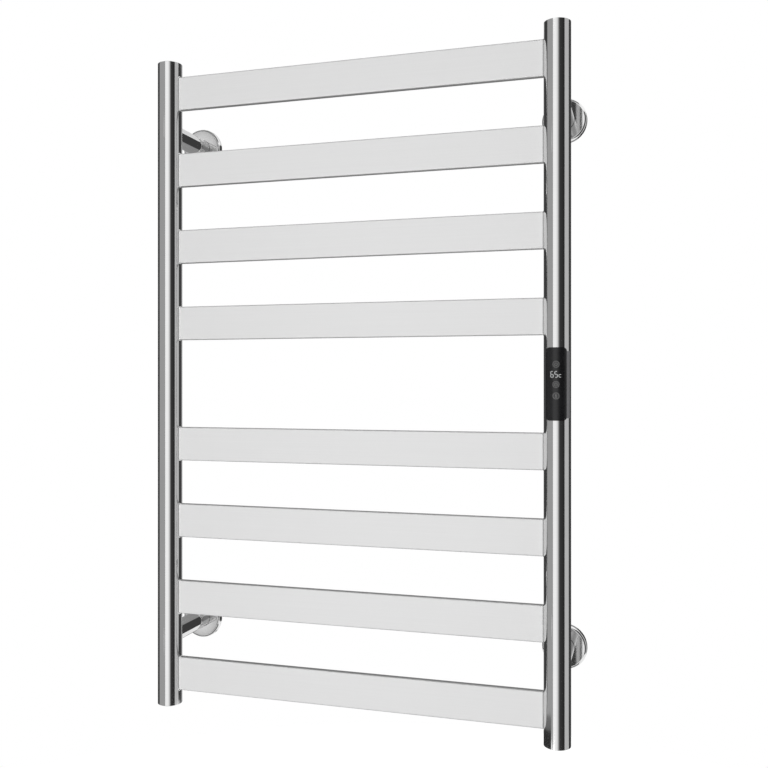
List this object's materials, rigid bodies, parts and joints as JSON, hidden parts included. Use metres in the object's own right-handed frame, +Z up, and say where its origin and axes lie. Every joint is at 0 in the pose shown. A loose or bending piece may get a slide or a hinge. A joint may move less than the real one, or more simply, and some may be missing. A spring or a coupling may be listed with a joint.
{
  "type": "towel warmer rack",
  "caption": "Wall-mounted electric towel rail with flat heated bars between round posts, sliding wall rosettes and a control panel in the right post.",
  "frame": {"origin": "on the wall plane, at the centre of the four wall plates, which is midway between the posts and at mid-height", "axes": "+X to the post with the control, +Y into the wall, +Z up; the front faces -Y"},
  "size_m": [0.533, 0.1064, 0.8],
  "materials": {
    "polished_steel": "mirror-polished stainless steel",
    "satin_steel": "finely brushed and buffed stainless steel",
    "plated_zinc": "plated die-cast zinc",
    "spring_steel": "bright spring steel",
    "black_rubber": "moulded, matt",
    "black_gloss_plastic": "gloss",
    "black_plastic": "fine matt texture",
    "circuit_board": "solder mask over glass laminate",
    "relay_case": "moulded",
    "white_nylon": "moulded",
    "red_silicone": "extruded, matt",
    "grey_silicone": "extruded, matt",
    "brass": "machined",
    "ceramic_sleeve": "fired, unglazed"
  },
  "bodies": {
    "wall_side": {"wall_plate_left_upper": "plated_zinc", "wall_plate_left_lower": "plated_zinc", "wall_plate_right_upper": "plated_zinc", "wall_plate_right_lower": "plated_zinc", "supply_grommet": "black_rubber"},
    "rack": {"left_post": "polished_steel", "right_post": "polished_steel", "bar_1": "satin_steel", "bar_2": "satin_steel", "bar_3": "satin_steel", "bar_4": "satin_steel", "bar_5": "satin_steel", "bar_6": "satin_steel", "bar_7": "satin_steel", "bar_8": "satin_steel", "end_cap_left_upper": "polished_steel", "end_cap_left_lower": "polished_steel", "end_cap_right_upper": "polished_steel", "end_cap_right_lower": "polished_steel", "arm_left_upper": "polished_steel", "arm_left_lower": "polished_steel", "arm_right_upper": "polished_steel", "arm_right_lower": "polished_steel", "grub_screws": "spring_steel", "front_panel": "black_gloss_plastic", "panel_gasket": "black_rubber", "control_tray": "black_plastic", "module_spring": "spring_steel", "control_board": "circuit_board", "board_screws": "spring_steel", "display_module": "black_plastic", "key_switches": "black_plastic", "power_relay": "relay_case", "board_connectors": "white_nylon", "heating_cable": "red_silicone", "supply_lead": "grey_silicone", "terminal_block": "white_nylon", "terminal_screws": "brass", "temperature_sensor": "spring_steel", "sensor_lead": "white_nylon", "thermal_cutout": "ceramic_sleeve"},
    "cover_left_upper": {"rosette_left_upper": "polished_steel", "rosette_ring_left_upper": "black_rubber"},
    "cover_left_lower": {"rosette_left_lower": "polished_steel", "rosette_ring_left_lower": "black_rubber"},
    "cover_right_upper": {"rosette_right_upper": "polished_steel", "rosette_ring_right_upper": "black_rubber"},
    "cover_right_lower": {"rosette_right_lower": "polished_steel", "rosette_ring_right_lower": "black_rubber"},
    "power_button": {"power_key": "black_gloss_plastic", "power_plunger": "white_nylon"},
    "timer_button": {"timer_key": "black_gloss_plastic", "timer_plunger": "white_nylon"},
    "temperature_button": {"temperature_key": "black_gloss_plastic", "temperature_plunger": "white_nylon"}
  },
  "joints": [
    {"name": "rack_standoff", "type": "slide", "parent": "wall_side", "child": "rack", "axis": [0, -1, 0], "range_m": [0, 0.03]},
    {"name": "rosette_slide_left_upper", "type": "slide", "parent": "rack", "child": "cover_left_upper", "axis": [0, -1, 0], "range_m": [0, 0.045]},
    {"name": "rosette_slide_left_lower", "type": "slide", "parent": "rack", "child": "cover_left_lower", "axis": [0, -1, 0], "range_m": [0, 0.045]},
    {"name": "rosette_slide_right_upper", "type": "slide", "parent": "rack", "child": "cover_right_upper", "axis": [0, -1, 0], "range_m": [0, 0.045]},
    {"name": "rosette_slide_right_lower", "type": "slide", "parent": "rack", "child": "cover_right_lower", "axis": [0, -1, 0], "range_m": [0, 0.045]},
    {"name": "power_press", "type": "slide", "parent": "rack", "child": "power_button", "axis": [0, 1, 0], "range_m": [0, 0.0005], "stiffness_N_per_m": 800},
    {"name": "timer_press", "type": "slide", "parent": "rack", "child": "timer_button", "axis": [0, 1, 0], "range_m": [0, 0.0005], "stiffness_N_per_m": 800},
    {"name": "temperature_press", "type": "slide", "parent": "rack", "child": "temperature_button", "axis": [0, 1, 0], "range_m": [0, 0.0005], "stiffness_N_per_m": 800}
  ]
}
